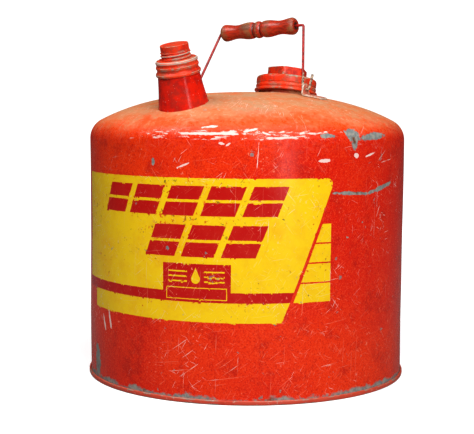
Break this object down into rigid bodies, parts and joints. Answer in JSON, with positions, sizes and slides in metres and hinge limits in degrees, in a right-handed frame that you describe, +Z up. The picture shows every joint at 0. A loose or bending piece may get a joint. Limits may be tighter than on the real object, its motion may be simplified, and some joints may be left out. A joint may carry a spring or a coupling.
{
  "type": "steel fuel can",
  "caption": "Round red steel fuel can with a domed top, a leaning capped pour spout, a wide screw-capped filler and a wire bail with a turned wooden grip.",
  "frame": {"origin": "centre of the underside, on the surface the can stands on", "axes": "+Z up; the pour spout stands towards -Y and the filler towards +Y; the bail swings about an axis along X"},
  "size_m": [0.316, 0.316, 0.3537],
  "materials": {
    "red_paint": "worn gloss red enamel over steel, scratched and chipped, with a plain yellow and red printed panel on the wall",
    "cap_paint": "red enamel worn to grey steel on the raised rolls",
    "base_steel": "red enamel worn to bare grey and tan steel on the rolled seam",
    "ear_paint": "dusty, faded red enamel",
    "wire_paint": "thin red enamel worn to dark steel at the ends",
    "grip_wood": "turned hardwood with worn red stain and lacquer",
    "gasket_rubber": "aged black fuel-resistant rubber",
    "spout_steel": "zinc-plated flexible steel tube and fittings",
    "brass": "dull brass gauze and ferrules"
  },
  "bodies": {
    "can": {"body_shell": "red_paint", "base_pan": "base_steel", "spout_neck": "red_paint", "filler_neck": "red_paint", "bail_ear_left": "ear_paint", "bail_ear_right": "ear_paint"},
    "bail": {"bail_wire": "wire_paint"},
    "grip": {"bail_grip": "grip_wood"},
    "filler_seal": {"filler_gasket": "gasket_rubber"},
    "filler_cap": {"filler_cap": "cap_paint"},
    "spout": {"spout_gasket": "gasket_rubber", "spout_fitting": "spout_steel", "spout_strainer": "brass", "spout_tube": "spout_steel", "spout_upper_ferrule": "brass", "spout_lower_ferrule": "brass", "spout_nozzle": "spout_steel"},
    "spout_collar": {"spout_collar": "cap_paint"},
    "spout_cap_seal": {"spout_cap_gasket": "gasket_rubber"},
    "spout_cap": {"spout_cap": "cap_paint"}
  },
  "joints": [
    {"name": "bail_swing", "type": "hinge", "parent": "can", "child": "bail", "pos_m": [0, 0, 0.2813], "axis": [1, 0, 0], "range_deg": [-20, 112]},
    {"name": "grip_spin", "type": "hinge", "parent": "bail", "child": "grip", "pos_m": [-0.0048, 0.02862, 0.34267], "axis": [0.9977, 0.0287, 0.0615], "continuous": true},
    {"name": "filler_lift", "type": "slide", "parent": "can", "child": "filler_seal", "axis": [0, 0.1558, 0.9878], "range_m": [0, 0.013]},
    {"name": "filler_turn", "type": "hinge", "parent": "filler_seal", "child": "filler_cap", "pos_m": [0, 0.073, 0.27412], "axis": [0, 0.1558, 0.9878], "range_deg": [0, 1170]},
    {"name": "spout_lift", "type": "slide", "parent": "can", "child": "spout", "axis": [0, -0.2672, 0.9636], "range_m": [0, 0.0104]},
    {"name": "collar_turn", "type": "hinge", "parent": "spout", "child": "spout_collar", "pos_m": [0, -0.108, 0.26631], "axis": [0, -0.2672, 0.9636], "range_deg": [0, 1170]},
    {"name": "spout_cap_lift", "type": "slide", "parent": "spout", "child": "spout_cap_seal", "axis": [0, -0.2672, 0.9636], "range_m": [0, 0.0105]},
    {"name": "spout_cap_turn", "type": "hinge", "parent": "spout_cap_seal", "child": "spout_cap", "pos_m": [0, -0.108, 0.26631], "axis": [0, -0.2672, 0.9636], "range_deg": [0, 1260]}
  ],
  "couplings": [
    {"joint": "filler_lift", "follows": "filler_turn", "m_per_rad": 0.00063662},
    {"joint": "spout_lift", "follows": "collar_turn", "m_per_rad": 0.0005093},
    {"joint": "spout_cap_lift", "follows": "spout_cap_turn", "m_per_rad": 0.00047746}
  ]
}
